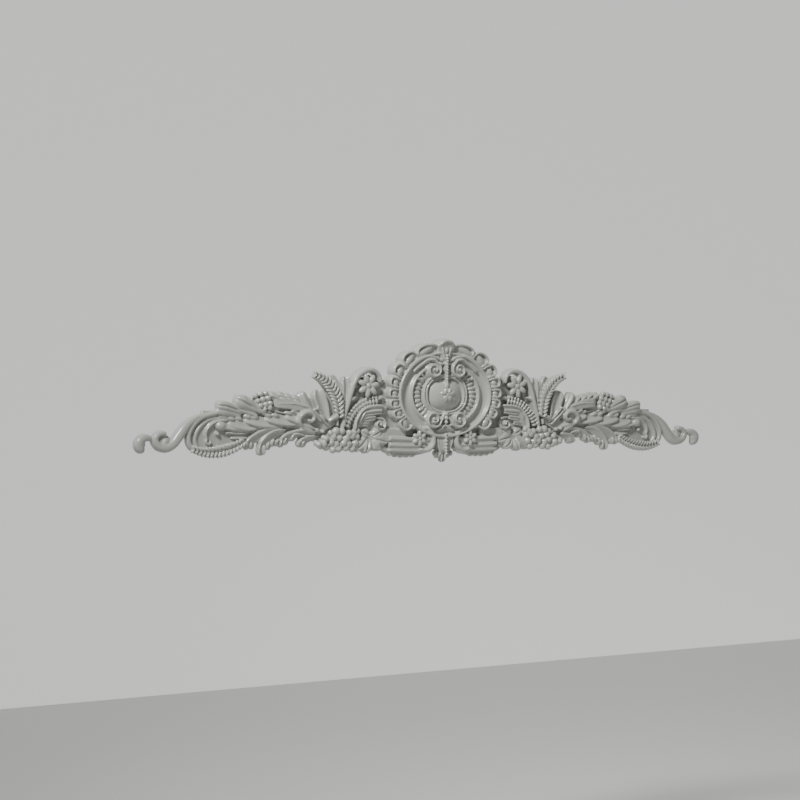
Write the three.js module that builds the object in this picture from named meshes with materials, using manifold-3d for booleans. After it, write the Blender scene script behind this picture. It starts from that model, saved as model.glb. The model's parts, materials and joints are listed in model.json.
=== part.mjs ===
// Scroll onlay: a wide cast ornament that is glued or nailed flat to a wall or panel.
// It is one casting. X runs along its length, Z is up, the wall face lies in the plane Y = 0,
// and the carving rises from it towards -Y. The origin is on the wall face, at the centre line.
// The ornament is symmetric: an oval cartouche stands between two wings of leaves and fruit.

import * as THREE from 'three';
import { mergeVertices } from 'three/addons/utils/BufferGeometryUtils.js';
import Module from 'manifold-3d';

const wasm = await Module();
wasm.setup();

// Driving dimensions, in millimetres.
const LENGTH = 1112;
const HEIGHT = 213;
const RELIEF = 29;
const GROUND = 5;
const GRAPE_RADIUS = 5.6;
const BERRY_RADIUS = 4.6;
const BEAD_RADIUS = 2.5;
const FILLET_WIDTH = 4.4;
const SCROLL_BAND = 9;
const EAR_PITCH = 6.8;
const GADROON_PITCH = 8.6;
const SCALLOP_PITCH = 21;

// The carving is set out on a grid of its own: u runs outward from the centre line, v upward and
// h off the wall. Its three extents are those of the drawing, and each is stretched to its size.
const DRAWN_LENGTH = 1112;
const DRAWN_HEIGHT = 213;
const DRAWN_RELIEF = 29;
const xOf = (u) => (u * LENGTH) / DRAWN_LENGTH;
const yOf = (h) => (-h * RELIEF) / DRAWN_RELIEF;
const zOf = (v) => (v * HEIGHT) / DRAWN_HEIGHT;

// Cross-sections of a carved stroke, from edge to edge: place across, then share of the crest height.
const ROUND = [[-1, 0], [-0.6, 0.9], [0.6, 0.9], [1, 0]];
const FLAT = [[-1, 0], [-0.7, 1], [0.7, 1], [1, 0]];
const LEAF = [[-1, 0], [-0.3, 1], [1, 0]];
const SHARP = [[-1, 0], [0, 1], [1, 0]];
const EDGE = [[-1, 0], [-1, 1], [0.8, 1], [1, 0]];

const curveOf = (points) => new THREE.SplineCurve(points.map(([u, v]) => new THREE.Vector2(u, v)));

// Reads a list of values as a curve over 0..1, with straight runs between its entries.
function along(values, t) {
  if (!Array.isArray(values)) {
    return values;
  }
  const place = t * (values.length - 1);
  const low = Math.min(Math.floor(place), values.length - 2);
  return THREE.MathUtils.lerp(values[low], values[low + 1], place - low);
}

// Turns a closed geometry into a solid, with its shared corners merged.
function solid(geometry) {
  geometry.deleteAttribute('normal');
  geometry.deleteAttribute('uv');
  const merged = mergeVertices(geometry, 1e-4);
  return new wasm.Manifold(new wasm.Mesh({
    numProp: 3,
    vertProperties: new Float32Array(merged.attributes.position.array),
    triVerts: new Uint32Array(merged.index.array),
  }));
}

// Moves each corner of a geometry with a rule that gets its place and returns [u, v, h].
function carve(geometry, rule) {
  const place = geometry.attributes.position;
  for (let i = 0; i < place.count; i += 1) {
    const [u, v, h] = rule(place.getX(i), place.getY(i), place.getZ(i));
    place.setXYZ(i, xOf(u), yOf(h), zOf(v));
  }
  return solid(geometry);
}

// A stroke of carving: a cylinder bent along a curve, with a half width and a crest height that
// change on the way. It always stands on the wall face. The ribs rule may shift a corner along the
// curve, change its share of the height and spread it outward.
const plain = () => [0, 1, 1];
function stroke(points, halfWidths, crests, section = ROUND, steps = points.length - 1, ribs = plain) {
  const line = curveOf(points);
  const sides = section.length;
  const tube = new THREE.CylinderGeometry(1, 1, 1, sides, steps);
  return carve(tube, (x, y, z) => {
    const step = Math.round((y + 0.5) * steps);
    const onAxis = Math.hypot(x, z) < 0.5;
    const corner = Math.round((Math.atan2(x, z) / (2 * Math.PI) + 1) * sides) % sides;
    const [across, rise] = onAxis ? [0, 0.4] : section[corner];
    const [shift, share, spread] = ribs(step, across);
    const t = step / steps + shift;
    const centre = line.getPointAt(t);
    const ahead = line.getTangentAt(t);
    const offset = across * spread * along(halfWidths, t);
    return [centre.x + ahead.y * offset, centre.y - ahead.x * offset, rise * share * along(crests, t)];
  });
}

// A stroke cut across into ribs, one each pitch, which lean back from the middle to the edges.
function ribbed(points, halfWidths, crests, pitch, dip, lean) {
  const count = Math.round(curveOf(points).getLength() / pitch);
  const steps = 2 * count + 1;
  return stroke(points, halfWidths, crests, SHARP, steps, (step, across) => {
    const t = step / steps;
    const shift = (-4 * lean * Math.abs(across) * t * (1 - t)) / count;
    return [shift, step % 2 ? 1 : 1 - dip, 1];
  });
}

// A low dome or ball, with its centre at height h.
function ball(u, v, h, across, up = across, out = across) {
  const form = new THREE.IcosahedronGeometry(1, 0);
  return carve(form, (x, y, z) => [u + x * across, v + z * up, h - y * out]);
}

// A grape or berry: a low five-sided gem, with its centre at height h.
function berry(u, v, h, radius) {
  const form = new THREE.SphereGeometry(1, 5, 2);
  return carve(form, (x, y, z) => [u + x * radius, v - z * radius, h + y * radius]);
}

// A grain: a long pointed form that lies at an angle, in degrees from +u.
function grain(u, v, h, angle, halfLength, halfWidth, out) {
  const cos = Math.cos(THREE.MathUtils.degToRad(angle));
  const sin = Math.sin(THREE.MathUtils.degToRad(angle));
  const form = new THREE.OctahedronGeometry(1, 0);
  return carve(form, (x, y, z) => {
    const run = x * halfLength;
    const side = z * halfWidth;
    return [u + run * cos - side * sin, v + run * sin + side * cos, h - y * out];
  });
}

// A disc that stands on the wall face.
function disc(u, v, h, across, up = across, sides = 9) {
  const form = new THREE.CylinderGeometry(1, 1, 1, sides, 1);
  return carve(form, (x, y, z) => [u + x * across, v - z * up, h * (y + 0.5)]);
}

// A turned form: a profile of [radius, height] that starts and ends on the axis, pressed to an oval.
// Every other corner is drawn in by a share of the radius, which makes petals.
function turned(u, v, profile, sides, ratio = 1, drawnIn = 0) {
  const form = new THREE.LatheGeometry(profile.map(([radius, h]) => new THREE.Vector2(radius, h)), sides);
  return carve(form, (x, y, z) => {
    const corner = Math.round((Math.atan2(x, z) / (2 * Math.PI) + 1) * sides);
    const reach = corner % 2 ? 1 - drawnIn : 1;
    return [u + x * reach, v - z * reach * ratio, y];
  });
}

// A flower: a ring of petals that dips towards a button in the middle.
function flower(u, v, crest, petals, radius) {
  const profile = [[0, 0], [radius, 0], [radius * 0.8, crest], [radius * 0.3, crest - 4], [0, crest - 4]];
  return [turned(u, v, profile, 2 * petals, 1, 0.3), ball(u, v, crest - 4, radius * 0.26, radius * 0.26, 4)];
}

// Points of a spiral about a centre, from one radius and angle to another.
function spiral(u, v, radius, endRadius, angle, endAngle, count) {
  const points = [];
  for (let i = 0; i <= count; i += 1) {
    const t = i / count;
    const r = THREE.MathUtils.lerp(radius, endRadius, t);
    const a = THREE.MathUtils.degToRad(THREE.MathUtils.lerp(angle, endAngle, t));
    points.push([u + r * Math.cos(a), v + r * Math.sin(a)]);
  }
  return points;
}

// The scrolls at the outer end of a wing: a stem that winds into a volute, then a hooked tip.
function endScrolls() {
  const stem = [
    [430, -22], [446, -26], [460, -34], [471, -44], [481, -57], [490, -68], [501, -75],
    [513, -73], [520, -65], [519, -56], [511, -50.5], [501, -52],
  ];
  const stemWidth = [2, 3.6, 5, 6.6, 7.6, 7.8, 7.4, 6.8, 6.2, 5.6, 5, 3.6];
  const tip = [[524, -61], [536, -58.5], [546, -62], [549, -69], [546, -76], [538, -78.5]];
  return [
    stroke(stem, stemWidth, [9, 11, 13, 13.5, 13.5, 12], ROUND, 13),
    ball(506, -64, 6, 8, 8, 5),
    stroke(tip, [3.8, 4.6, 6.2, 6.8, 6.2, 3.4], [9, 11, 12.5, 13, 12, 9], ROUND, 6),
  ];
}

// The loop at the end of the leaves, with a tendril inside and an ear of corn along its foot.
function loop() {
  const rim = [
    [400, -19], [420, -21.5], [438, -26], [451, -34], [460, -45], [464.5, -57], [463, -69], [455, -79],
  ];
  const tendril = [[405, -33], [422, -36], [432, -45], [434, -56], [431, -66]];
  const hook = [[380, -46], [398, -41], [411, -38], [419, -42], [417, -49]];
  const under = [[366, -62], [384, -57], [400, -54], [413, -52]];
  const foot = [[457, -80], [440, -83], [420, -83.5], [400, -79.5], [384, -74], [374, -69]];
  return [
    stroke(rim, 4, 10.5, FLAT, 8),
    stroke(tendril, [4, 4, 3.6, 3, 2.6], [11, 10.5, 10], SHARP),
    stroke(hook, [5, 6, 5, 4, 2.4], 12),
    stroke(under, [4, 5.5, 4.5, 2], 9.5),
    ribbed(foot, [7, 9, 9.5, 9, 8, 5], 14, EAR_PITCH, 0.25, 1),
    stroke([[418, -19.5], [443, -19]], 2.6, 6, FLAT),
  ];
}

// The main acanthus: a long rib, broad lobes above it and drooping fronds below.
function acanthus() {
  const rib = [
    [228, -55], [250, -47], [270, -43], [292, -40.5], [312, -40.5], [332, -44],
    [352, -48], [372, -48.5], [392, -45], [411, -38],
  ];
  const parts = [stroke(rib, [3, 4, 4, 4, 4, 3.6, 2.4], [14, 15, 15, 14, 13, 12], SHARP, 8)];
  const lobes = [
    [[348, -42], [368, -36], [385, -31], [402, -29]],
    [[313, -38], [334, -33], [352, -30], [367, -28]],
    [[275, -38], [295, -32], [312, -29], [328, -27]],
    [[235, -45], [256, -37], [275, -31], [290, -27]],
  ];
  lobes.forEach((points, i) => {
    parts.push(stroke(points, [6, 8.5, 8.5, 4], [11 + i, 13 + i, 13 + i, 9 + i], LEAF));
  });
  const fronds = [
    { points: [[290, -45], [314, -44], [334, -47], [352, -53], [366, -61], [374, -72]], width: 5.4 },
    { points: [[292, -50], [314, -51], [328, -56], [338, -63], [345, -72]], width: 5.6 },
    { points: [[298, -55], [316, -59], [329, -66], [337, -76], [340, -87]], width: 7.2 },
    { points: [[242, -56], [268, -53], [288, -56], [302, -63], [309, -71]], width: 6 },
    { points: [[238, -61], [260, -63], [273, -69], [280, -77]], width: 5.4 },
  ];
  for (const { points, width } of fronds) {
    parts.push(stroke(points, [width * 0.6, width, width, width * 0.5], [12, 12.5, 11.5, 8.5], LEAF));
  }
  return parts;
}

// The leaves along the top of a wing, with a cluster of berries between them.
function crown() {
  const leaves = [
    { points: [[372, -22], [388, -16.5], [404, -12], [420, -11]], width: [6, 10, 10.5, 7], crest: [10, 13, 14.5, 10] },
    { points: [[345, -18], [357, -11], [371, -4], [387, 3]], width: [6, 9, 10.5, 7], crest: [13, 16, 17, 11] },
    { points: [[345, -26], [364, -20], [380, -18]], width: [4, 6, 4.4], crest: [13, 13.5, 11] },
    { points: [[252, -17], [275, -8], [296, -1], [324, 5]], width: [5, 10, 12.5, 6.5], crest: [14, 16, 15.5, 10] },
    { points: [[234, -36], [248, -20], [260, -5], [265, 14]], width: [4, 6.5, 10.5, 8], crest: [15, 15.5, 14.5, 9] },
    { points: [[222, -42], [228, -28], [234, -6], [237, 17]], width: [5, 9, 12.5, 8], crest: [16, 16, 14.5, 9] },
    { points: [[236, -57], [252, -50], [266, -41], [278, -32]], width: [3, 6, 6.5, 3], crest: [14, 16.5, 16, 11] },
  ];
  const parts = leaves.map(({ points, width, crest }) => stroke(points, width, crest, LEAF));
  const curl = [[262, -46], [272, -38], [275, -29], [268, -21], [257, -18], [247, -23]];
  parts.push(stroke(curl, [3, 4, 4.6, 5.4, 6, 4.4], [14, 18, 21, 23, 23, 20], ROUND));
  parts.push(stroke([[352, 2], [320, -2]], [12, 14], 10, FLAT));
  const rows = [{ v: 9, from: 327, count: 3 }, { v: 0, from: 322, count: 4 }, { v: -9, from: 326, count: 3 }];
  for (const { v, from, count } of rows) {
    for (let i = 0; i < count; i += 1) {
      parts.push(berry(from + i * 2 * BERRY_RADIUS, v, 9.7, BERRY_RADIUS));
    }
  }
  return parts;
}

// The upright ear of corn, with its backing leaves.
function plume() {
  const spine = [[202, -26], [203, -9], [207, 6], [214, 18], [223, 29], [233, 37], [247, 43]];
  return [
    ribbed(spine, [8, 10, 11, 11.5, 11, 8, 3], 20, EAR_PITCH, 0.2, 1),
    stroke([[203, -15], [204, 8], [211, 31], [222, 43]], [5, 9, 9, 3], 11, ROUND),
    stroke([[196, -28], [197, -5], [202, 22], [205, 36]], [5, 6, 6.5, 3.6], 12, LEAF),
    stroke([[190, -38], [187, -10], [185, 20], [188, 43]], [5, 6, 8, 4.4], 13, LEAF),
    stroke([[201, -27], [212, -30], [222, -38]], [4, 5.5, 3], 18, SHARP),
  ];
}

// The tall C-scroll with a flower in its curl, and the frilled arc at its foot.
function arch() {
  const band = [
    [194, -48], [190, -25], [184, -5], [178, 15], [172, 30], [164, 42], [151, 49], [138, 50],
    [128, 44], [124, 34], [127, 25],
  ];
  const frill = [[187, -42], [180, -30], [171, -18], [159, -8], [146, -2], [130, 0], [117, 0]];
  const fillet = [[172, -48], [168, -35], [160, -24], [149, -16], [135, -12], [119, -11]];
  return [
    stroke(band, SCROLL_BAND / 2, [16, 17, 19, 19, 18], ROUND, 11),
    ...flower(149, 25, 19, 7, 19),
    ribbed(frill, 6.5, 15, EAR_PITCH, 0.25, 0),
    stroke(fillet, FILLET_WIDTH / 2, 16, SHARP),
    stroke([[165, -30], [104, -30]], [16, 26], 9, FLAT),
    stroke([[160, -28], [146, -22], [133, -19], [118, -24]], [4, 6, 6, 3], 15, LEAF),
    stroke([[166, -45], [152, -37], [138, -35], [126, -38]], [4, 6, 6, 3], 15, LEAF),
    ball(118, -41, 12, 9, 9, 5),
  ];
}

// The bunch of grapes, in rows that shorten towards the pointed end, and the vine leaf beside it.
function vine() {
  const parts = [stroke([[160, -59], [190, -66], [215, -68], [243, -72]], [14, 18, 15, 5], 13, FLAT)];
  const rows = [{ v: -79.5, count: 4 }, { v: -70, count: 7 }, { v: -60.5, count: 6 }, { v: -51, count: 4 }];
  const pitch = 2.04 * GRAPE_RADIUS;
  rows.forEach(({ v, count }, row) => {
    for (let i = 0; i < count; i += 1) {
      parts.push(berry(176 + (i - (row % 2) / 2) * pitch, v, 12.7, GRAPE_RADIUS));
    }
  });
  parts.push(turned(140, -68, [[0, 0], [30, 0], [30, 9], [14, 17], [0, 14]], 14, 0.62, 0.3));
  return parts;
}

// The reeded base under the cartouche, with its leafy skirt, and the small C-scroll with a flower.
function base() {
  const reeds = [{ v: -66, half: 5, crest: 17 }, { v: -77, half: 5.4, crest: 16 }];
  const parts = reeds.map(({ v, half, crest }) => (
    stroke([[112, v + 4], [92, v], [60, v - 1], [20, v]], half, crest, ROUND)
  ));
  const skirt = [[124, -73], [113, -82], [92, -89], [60, -91], [30, -86]];
  parts.push(stroke(skirt, [4, 6, 7, 7, 5], 9, FLAT));
  const curl = [[42, -47], [30, -49], [23, -58], [22, -70], [27, -80], [38, -85], [49, -82]];
  parts.push(stroke(curl, [3, 4, 4, 4, 4, 4, 2.6], 21, ROUND));
  parts.push(...flower(49, -62, 21, 6, 13));
  return parts;
}

// The mouldings of the cartouche as a turned profile, from the wall face over the outer fillet to
// the boss. Each entry is a radius and a height off the wall.
const OVAL = { v: 9, ratio: 0.79 };
const MOULDINGS = [
  [0, 0], [93, 0], [91, 22], [86, 21], [77, 13], [67, 20], [50, 16], [42, 15], [40, 20], [35, 16],
  [24, 24.5], [0, 27],
];

function cartouche() {
  const parts = [turned(0, OVAL.v, MOULDINGS, 24, OVAL.ratio)];
  for (const facing of [0, 180]) {
    const count = Math.round((57 * THREE.MathUtils.degToRad(96)) / GADROON_PITCH);
    for (let i = 0; i < count; i += 1) {
      const angle = facing - 48 + (96 * (i + 0.5)) / count;
      const turn = THREE.MathUtils.degToRad(angle);
      const u = 57 * Math.cos(turn);
      const v = OVAL.v + 57 * OVAL.ratio * Math.sin(turn);
      parts.push(grain(u, v, 17.5, angle, 7, GADROON_PITCH / 2.6, 3));
    }
  }
  const sprig = 5;
  for (let i = 0; i < sprig; i += 1) {
    const angle = 90 + (360 * i) / sprig;
    const turn = THREE.MathUtils.degToRad(angle);
    parts.push(grain(7.5 * Math.cos(turn), OVAL.v + 7.5 * Math.sin(turn), 26, angle, 6.5, 3.4, 3));
  }
  return parts;
}

// The scalloped edge around one side of the cartouche: lobes with a boss at the root of each.
function scallops() {
  const from = -46;
  const to = 78;
  const centreLine = 96;
  const arc = [];
  for (let i = 0; i <= 12; i += 1) {
    const turn = THREE.MathUtils.degToRad(THREE.MathUtils.lerp(from, to, i / 12));
    arc.push([centreLine * Math.cos(turn), OVAL.v + centreLine * OVAL.ratio * Math.sin(turn)]);
  }
  const lobes = Math.round(curveOf(arc).getLength() / SCALLOP_PITCH);
  const parts = [stroke(arc, 16, 20, EDGE, 3 * lobes, (step, across) => (
    [0, 1, across > 0 && step % 3 === 0 ? 0.65 : 1]
  ))];
  const line = curveOf(arc);
  for (let i = 0; i < lobes; i += 1) {
    const { x, y } = line.getPointAt((i + 0.5) / lobes);
    parts.push(grain(x * 1.03, y * 1.03, 19.5, 45, 5.5, 5.5, 4));
  }
  return parts;
}

// The mantle and the pairs of volutes over and under the boss, for one side.
function volutes() {
  const mantle = [[72, 46], [65, 57], [52, 69], [36, 76], [20, 75], [5, 68]];
  const upper = [[48, 51], [40, 61], [28, 68], [13, 67], [4, 57], ...spiral(20, 51, 15.5, 6, 200, 420, 5)];
  const lower = [[10, -17], [6, -27], [9, -38], ...spiral(23, -30, 14.5, 6, 240, 500, 5)];
  return [
    stroke(mantle, [8, 6.5, 5.5, 5, 4.5, 3], [20, 22, 22, 21], ROUND),
    stroke(upper, [3.4, 5, 5.4, 5, 4.4, 3.8, 3, 2], [20, 23, 26, 27, 26], SHARP, 11),
    disc(21, 51, 19, 15),
    stroke(lower, [3, 4.6, 5, 4.6, 4, 3, 2], [20, 24, 25, 25], SHARP, 9),
    disc(23, -31, 19, 13),
  ];
}

// What stands on the centre line: the crest leaf, the strings of beads and the pendant.
function centreLine() {
  const parts = [
    stroke([[0, 62], [0, 78], [0, 91], [0, 104]], [5, 9, 18, 11], [21, 24, 27, 17], LEAF),
    stroke([[0, 70], [0, 25]], [4.5, 3.4], [25, 24], ROUND),
    stroke([[0, -16], [0, -40], [0, -60]], [4, 6, 14], [22, 20, 20], ROUND),
    stroke([[0, -52], [0, -70], [0, -93]], [15, 12, 9], [21, 21, 17], ROUND),
    stroke([[0, -84], [0, -97], [0, -107]], [7, 5.6, 2], [16, 14, 9], LEAF),
  ];
  for (const side of [-1, 1]) {
    parts.push(stroke([[side * 4, 66], [side * 11, 84], [side * 16, 95]], [4, 6, 3.4], [20, 23, 17], SHARP));
    parts.push(stroke([[side * 3, -80], [side * 8, -92], [side * 10, -99]], [5, 4.4, 2], [16, 14, 9], SHARP));
    parts.push(stroke([[side * 9, -80], [side * 15, -94]], [5, 4.6], [15, 10], SHARP));
  }
  const strings = [{ from: 66, to: 31, h: 27 }, { from: -24, to: -38, h: 24 }, { from: -62, to: -92, h: 23 }];
  for (const { from, to, h } of strings) {
    parts.push(ribbed([[0, from], [0, to]], 1.3 * BEAD_RADIUS, h, 2 * BEAD_RADIUS, 0.12, 0));
  }
  return parts;
}

// The ground that joins the carved forms: a plate inside their outline, as thick whatever the relief.
function ground() {
  const outline = [
    [0, 84], [30, 80], [60, 70], [85, 48], [97, 34], [125, 34], [140, 42], [160, 36], [185, 30],
    [203, 24], [225, 8], [262, 2], [290, -4], [345, -3], [400, -12], [430, -24], [450, -36],
    [460, -54], [457, -74], [420, -84], [385, -74], [345, -66], [325, -68], [300, -60], [265, -62],
    [235, -70], [200, -76], [150, -78], [115, -76], [60, -88], [20, -82], [0, -88],
  ];
  const shape = new THREE.Shape();
  outline.forEach(([u, v]) => shape.lineTo(u, v));
  outline.slice(1, -1).reverse().forEach(([u, v]) => shape.lineTo(-u, v));
  const plate = new THREE.ExtrudeGeometry(shape, { depth: GROUND, bevelEnabled: false });
  return carve(plate, (x, y, z) => [x, y, (z * DRAWN_RELIEF) / RELIEF]);
}

// The same solid on the other side of the centre line.
function mirrored(half) {
  const mesh = half.getMesh();
  const vertices = new Float32Array(mesh.vertProperties);
  for (let i = 0; i < vertices.length; i += 3) {
    vertices[i] *= -1;
  }
  const triangles = new Uint32Array(mesh.triVerts);
  for (let i = 0; i < triangles.length; i += 3) {
    [triangles[i], triangles[i + 1]] = [triangles[i + 1], triangles[i]];
  }
  return new wasm.Manifold(new wasm.Mesh({ numProp: 3, vertProperties: vertices, triVerts: triangles }));
}

const join = (solids) => solids.reduce((sum, next) => sum.add(next));

const wing = join([
  ...endScrolls(), ...loop(), ...acanthus(), ...crown(), ...plume(), ...arch(), ...vine(), ...base(),
  ...scallops(), ...volutes(),
]);
const onlay = join([ground(), ...cartouche(), ...centreLine(), wing, mirrored(wing)]).simplify(0.7);

const mesh = onlay.getMesh();
const geometry = new THREE.BufferGeometry();
geometry.setAttribute('position', new THREE.BufferAttribute(new Float32Array(mesh.vertProperties), 3));
geometry.setIndex(new THREE.BufferAttribute(new Uint32Array(mesh.triVerts), 1));

const paint = new THREE.MeshStandardMaterial({ color: 0xb4b5ad, roughness: 0.42, metalness: 0 });
const casting = new THREE.Mesh(geometry, paint);
casting.name = 'scroll_onlay';

const group = new THREE.Group();
group.add(casting);

export default group;
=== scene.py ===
# %% [markdown]
# # Scroll onlay
# A wide cast ornament with a flat back. An oval cartouche stands in the middle of two wings of
# leaves, fruit and scrolls. The real one is poured in one mould, so here every form is modelled on
# its own and all of them are fused to one skin, the way they flow together in the cast.

# %% Start
import json
import math

import bmesh
import bpy
import numpy as np
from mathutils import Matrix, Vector

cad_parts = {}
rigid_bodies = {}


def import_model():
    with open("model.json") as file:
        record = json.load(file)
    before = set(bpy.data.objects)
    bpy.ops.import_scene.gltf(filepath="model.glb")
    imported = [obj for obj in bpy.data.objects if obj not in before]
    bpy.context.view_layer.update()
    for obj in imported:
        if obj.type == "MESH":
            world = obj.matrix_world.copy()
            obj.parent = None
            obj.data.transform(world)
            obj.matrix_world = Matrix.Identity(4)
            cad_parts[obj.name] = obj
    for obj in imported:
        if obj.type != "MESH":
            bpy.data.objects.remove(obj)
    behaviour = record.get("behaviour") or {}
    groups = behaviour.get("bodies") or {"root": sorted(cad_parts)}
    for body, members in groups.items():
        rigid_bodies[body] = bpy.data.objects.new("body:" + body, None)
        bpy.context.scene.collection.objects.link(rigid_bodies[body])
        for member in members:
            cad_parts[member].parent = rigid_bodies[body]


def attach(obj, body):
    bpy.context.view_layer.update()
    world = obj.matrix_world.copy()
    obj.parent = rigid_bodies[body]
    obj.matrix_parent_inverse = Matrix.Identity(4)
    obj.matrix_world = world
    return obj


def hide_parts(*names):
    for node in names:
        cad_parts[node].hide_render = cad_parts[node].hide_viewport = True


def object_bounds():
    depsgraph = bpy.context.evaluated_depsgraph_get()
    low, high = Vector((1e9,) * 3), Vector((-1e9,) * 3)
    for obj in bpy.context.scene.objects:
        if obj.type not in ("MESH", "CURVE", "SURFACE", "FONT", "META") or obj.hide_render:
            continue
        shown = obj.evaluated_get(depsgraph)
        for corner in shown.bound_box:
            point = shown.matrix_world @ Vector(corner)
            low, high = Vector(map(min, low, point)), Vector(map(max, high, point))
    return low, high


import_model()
frame_low, frame_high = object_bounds()
print("frame box", list(frame_low), list(frame_high))

# %% [markdown]
# The ornament is drawn in millimetres on a grid: u runs outward from the centre line, v runs up
# and h comes off the wall. One function turns a place on that grid into a place in the scene.

# %% Drawing grid
MM = 0.001
RELIEF = 29.0


def place(u, v, h):
    return Vector((u * MM, -min(max(h, 0.0), RELIEF) * MM, v * MM))


print("front of the relief", place(0, 0, RELIEF))

# %% [markdown]
# A carver cuts such work in strokes: each has a line that it follows, a width that swells and
# narrows, and a cross-section. The line here is a smooth curve through a few points, read at even
# steps of its length.

# %% Lines
FINE_STEPS = 12
READINGS = 40


def line_of(points, count):
    given = np.array(points, dtype=float)
    ends = [2 * given[0] - given[1]], [2 * given[-1] - given[-2]]
    padded = np.vstack([ends[0], given, ends[1]])
    fine = []
    for i in range(1, len(padded) - 2):
        a, b, c, d = padded[i - 1:i + 3]
        for s in np.linspace(0, 1, FINE_STEPS, endpoint=False):
            fine.append(0.5 * (2 * b + (c - a) * s + (2 * a - 5 * b + 4 * c - d) * s * s
                               + (3 * b - a - 3 * c + d) * s ** 3))
    fine.append(given[-1])
    fine = np.array(fine)
    lengths = np.concatenate([[0], np.cumsum(np.linalg.norm(np.diff(fine, axis=0), axis=1))])
    even = np.linspace(0, lengths[-1], count + 1)
    spots = np.stack([np.interp(even, lengths, fine[:, k]) for k in (0, 1)], axis=1)
    ahead = np.gradient(spots, axis=0)
    ahead /= np.linalg.norm(ahead, axis=1)[:, None]
    return spots, ahead, lengths[-1]


def along(values, t):
    if isinstance(values, (int, float)):
        return float(values)
    return float(np.interp(t, np.linspace(0, 1, len(values)), values))


print("a straight line of", line_of([(0, 0), (30, 40)], 4)[2], "mm")

# %% [markdown]
# The cross-sections, from the left edge to the right edge of a stroke as it is cut: how far
# across, then the share of the height. Reeds are full and round, leaves have their ridge to one
# side, channels have a lip on each edge, and veined leaves a groove along the middle.

# %% Cross-sections
def both_sides(half):
    return [(-s, rise) for s, rise in reversed(half) if s > 0] + half


REED = both_sides([(0, 1), (0.5, 0.94), (0.8, 0.76), (0.94, 0.5), (1, 0)])
FLAT = both_sides([(0.8, 1), (0.93, 0.85), (1, 0)])
RIDGE = both_sides([(0.1, 0.98), (0.45, 0.74), (0.96, 0.58), (1, 0)])
LEAF = [(-1, 0), (-0.95, 0.72), (-0.72, 1), (-0.45, 0.98), (0, 0.74), (0.5, 0.64), (0.94, 0.56),
        (1, 0)]
LEAF_BACK = [(-s, rise) for s, rise in reversed(LEAF)]
CHANNEL = both_sides([(0, 0.7), (0.3, 0.76), (0.6, 0.96), (0.8, 1), (0.95, 0.86), (1, 0)])
VEINED = both_sides([(0, 0.76), (0.22, 1), (0.6, 0.94), (0.95, 0.74), (1, 0)])
FAN = both_sides([(0, 1), (0.22, 0.92), (0.45, 0.76), (0.72, 0.92), (0.95, 0.7), (1, 0)])
print("sections of", [len(s) for s in (REED, FLAT, RIDGE, LEAF, CHANNEL, VEINED, FAN)], "points")

# %% [markdown]
# A stroke starts as a ball: its meridians become the cross-section and its rings are set one
# after the other along the line. Its two poles make the rounded ends. Its underside lies on the
# wall. Towards its ends a stroke sinks as well as narrows, as a gouge comes out of the cut.

# %% Strokes
END_HEIGHT = 0.45
POLE_HEIGHT = 0.5
forms = []


def keep(shape):
    form = bpy.data.meshes.new("form")
    shape.to_mesh(form)
    shape.free()
    forms.append(form)


def stroke(points, widths, crests, section=REED, sides=20, blunt=1.0, pitch=2.2):
    length = line_of(points, READINGS)[2]
    steps = max(8, int(length / pitch))
    spots, ahead, length = line_of(points, steps)
    edges, rises = zip(*section)
    shape = bmesh.new()
    bmesh.ops.create_uvsphere(shape, u_segments=sides, v_segments=steps, radius=1.0)
    for vert in shape.verts:
        x, y, z = vert.co
        t = 1 - math.acos(max(-1.0, min(1.0, z))) / math.pi
        ring = min(steps, max(0, round(t * steps)))
        pole = x * x + y * y < 1e-8
        across = 0.0 if pole else max(-1.0, min(1.0, x / math.hypot(x, y)))
        over = pole or y > -1e-5
        width = along(widths, t)
        near = min(1.0, min(t, 1 - t) * length / max(blunt * width, 0.1))
        rounding = math.sqrt(max(0.0, 1 - (1 - near) ** 2))
        offset = across * width * rounding
        rise = float(np.interp(across, edges, rises)) if over else 0.0
        if pole:
            rise = POLE_HEIGHT
        h = rise * along(crests, t) * (END_HEIGHT + (1 - END_HEIGHT) * rounding)
        u = spots[ring][0] + ahead[ring][1] * offset
        v = spots[ring][1] - ahead[ring][0] * offset
        vert.co = place(u, v, h)
    keep(shape)


stroke([(400, -19), (420, -21.5), (438, -26), (451, -34), (460, -45), (464.5, -57), (463, -69),
        (455, -79)], 4.6, 11, REED)
print("first stroke has", len(forms[-1].vertices), "corners")

# %% [markdown]
# Grains, berries and bosses are round forms pressed into the mould one by one, so each is a ball,
# drawn long or left round, and turned on the wall. There are hundreds, so a ball has few faces.

# %% Round forms
BOSS_SIDES = 12


def boss(u, v, h, long, wide=None, out=None, angle=0.0):
    wide = long if wide is None else wide
    out = min(long, wide) if out is None else out
    cos, sin = math.cos(math.radians(angle)), math.sin(math.radians(angle))
    shape = bmesh.new()
    bmesh.ops.create_uvsphere(shape, u_segments=BOSS_SIDES, v_segments=BOSS_SIDES - 2, radius=1.0)
    for vert in shape.verts:
        run, side, up = vert.co.x * long, vert.co.y * wide, vert.co.z * out
        vert.co = place(u + run * cos - side * sin, v + run * sin + side * cos, h + up)
    keep(shape)


print("a ball of", BOSS_SIDES, "sides")

# %% [markdown]
# Ears of corn and the frill of the arc repeat one grain along a line. An ear has two rows that lean
# off its spine and swell in the middle. A frill has a row of long discs and a row of short ones.

# %% Ears and frills
def swelling(t):
    if t <= 0.33:
        return 0.75 + 0.75 * t
    return 0.55 + 0.45 * math.sin(math.pi * min(1.0, 0.25 + 0.75 * t))


GRAIN_DEPTH = 5
GRAIN_LEAN = 48


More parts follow.
